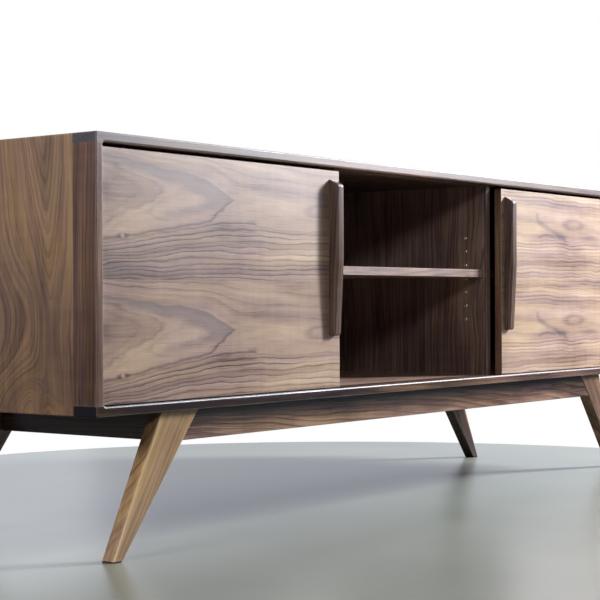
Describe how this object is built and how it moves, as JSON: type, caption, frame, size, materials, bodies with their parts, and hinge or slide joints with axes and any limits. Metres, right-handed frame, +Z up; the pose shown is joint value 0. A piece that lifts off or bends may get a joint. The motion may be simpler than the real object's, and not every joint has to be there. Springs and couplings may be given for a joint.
{
  "type": "sideboard buffet",
  "caption": "Long low walnut sideboard: mitred case with solid front strips, sliding doors with shaped pulls beside an open shelved bay, on an apron base with splayed tapered legs.",
  "frame": {"origin": "middle of the bounding box at floor level, under the feet", "axes": "+X along the front to the right as one faces it, +Y from the front to the back, +Z up"},
  "size_m": [2.066, 0.5184, 0.732],
  "materials": {
    "case_veneer": "oiled walnut veneer on panel core, satin",
    "door_veneer": "oiled flat-cut walnut veneer, grain across, satin",
    "edge_walnut": "oiled solid walnut, straight grain, satin",
    "handle_walnut": "oiled solid dark walnut, hand shaped",
    "base_walnut": "oiled solid walnut, lighter sap-toned grain",
    "inner_beech": "plain beech, unfinished",
    "plated_metal": "nickel plated pins, sleeves and screw heads",
    "slide_nylon": "black nylon",
    "foot_felt": "dark felt"
  },
  "bodies": {
    "case": {"back_panel": "case_veneer", "bottom_front_strip": "edge_walnut", "bottom_panel": "case_veneer", "centre_rail": "inner_beech", "centre_shelf": "case_veneer", "centre_shelf_lipping": "edge_walnut", "foot_glides": "foot_felt", "front_apron": "base_walnut", "front_left_leg": "base_walnut", "front_right_leg": "base_walnut", "left_apron": "base_walnut", "left_end_panel": "case_veneer", "left_end_strip": "edge_walnut", "left_partition": "case_veneer", "left_partition_lipping": "edge_walnut", "left_shelf": "case_veneer", "left_shelf_lipping": "edge_walnut", "mitre_splines": "inner_beech", "mounting_cleats": "inner_beech", "partition_dowels": "inner_beech", "pin_sleeves": "plated_metal", "rear_apron": "base_walnut", "rear_left_leg": "base_walnut", "rear_right_leg": "base_walnut", "right_apron": "base_walnut", "right_end_panel": "case_veneer", "right_end_strip": "edge_walnut", "right_partition": "case_veneer", "right_partition_lipping": "edge_walnut", "right_shelf": "case_veneer", "right_shelf_lipping": "edge_walnut", "shelf_pins": "plated_metal", "strip_dowels": "inner_beech", "top_front_strip": "edge_walnut", "top_panel": "case_veneer"},
    "left_door": {"left_door_glides": "slide_nylon", "left_door_guides": "slide_nylon", "left_door_level_lippings": "edge_walnut", "left_door_panel": "door_veneer", "left_door_side_lippings": "edge_walnut", "left_handle": "handle_walnut"},
    "right_door": {"right_door_glides": "slide_nylon", "right_door_guides": "slide_nylon", "right_door_level_lippings": "edge_walnut", "right_door_panel": "door_veneer", "right_door_side_lippings": "edge_walnut", "right_handle": "handle_walnut"}
  },
  "joints": [
    {"name": "left_door_slide", "type": "slide", "parent": "case", "child": "left_door", "axis": [1, 0, 0], "range_m": [0, 0.327]},
    {"name": "right_door_slide", "type": "slide", "parent": "case", "child": "right_door", "axis": [-1, 0, 0], "range_m": [0, 0.327]}
  ]
}
